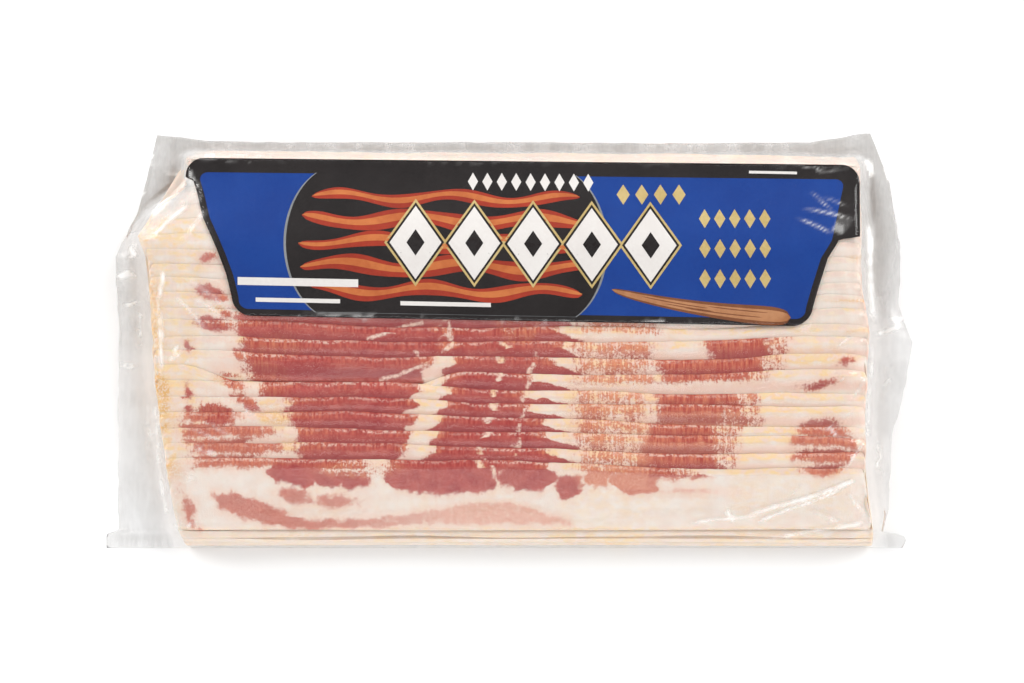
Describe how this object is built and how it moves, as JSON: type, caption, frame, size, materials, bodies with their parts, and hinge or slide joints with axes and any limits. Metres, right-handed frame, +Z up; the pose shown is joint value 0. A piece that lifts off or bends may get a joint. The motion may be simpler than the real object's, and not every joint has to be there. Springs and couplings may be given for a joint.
{
  "type": "bacon pack",
  "caption": "Clear vacuum pack of sliced bacon, shingled slices in film with sealed margins and a printed card over the upper slices.",
  "frame": {"origin": "middle of the pack's length and width, on the surface that it lies on", "axes": "+X along the slices, +Y towards the end with the card, +Z up out of the shown side"},
  "size_m": [0.2699, 0.139, 0.0188],
  "materials": {
    "bacon": "moist",
    "label": "coated",
    "film": "clear"
  },
  "bodies": {
    "root": {"bag": "bacon", "label": "label"}
  },
  "joints": []
}
